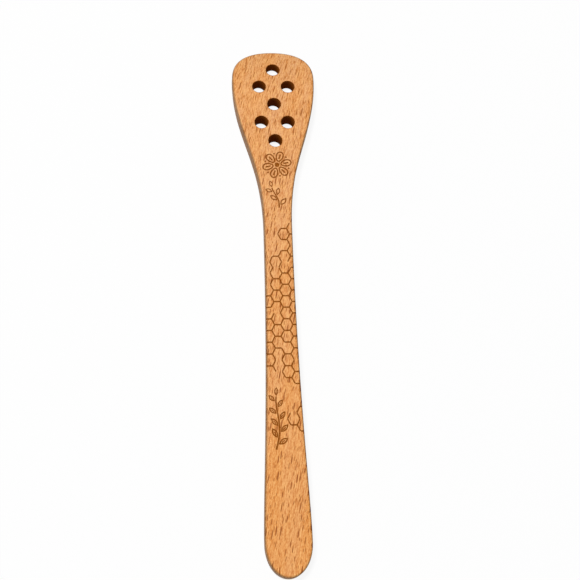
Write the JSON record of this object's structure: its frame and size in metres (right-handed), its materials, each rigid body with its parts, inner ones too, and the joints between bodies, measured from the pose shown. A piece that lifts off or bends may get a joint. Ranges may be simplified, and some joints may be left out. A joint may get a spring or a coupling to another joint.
{
  "type": "honey dipper",
  "caption": "Flat wooden honey dipper: a broad head pierced with round drip holes, a slim neck and a long handle that widens to a rounded end.",
  "frame": {"origin": "middle of the board's box, on the flat back face", "axes": "+Y along the board to the tip of the head, +Z out of the front face, +X across the board to the right as the front is seen with the head up"},
  "size_m": [0.032, 0.203, 0.007],
  "materials": {
    "beech": "oiled beech, sanded smooth, with etched ornament on the front"
  },
  "bodies": {
    "root": {"dipper": "beech"}
  },
  "joints": []
}
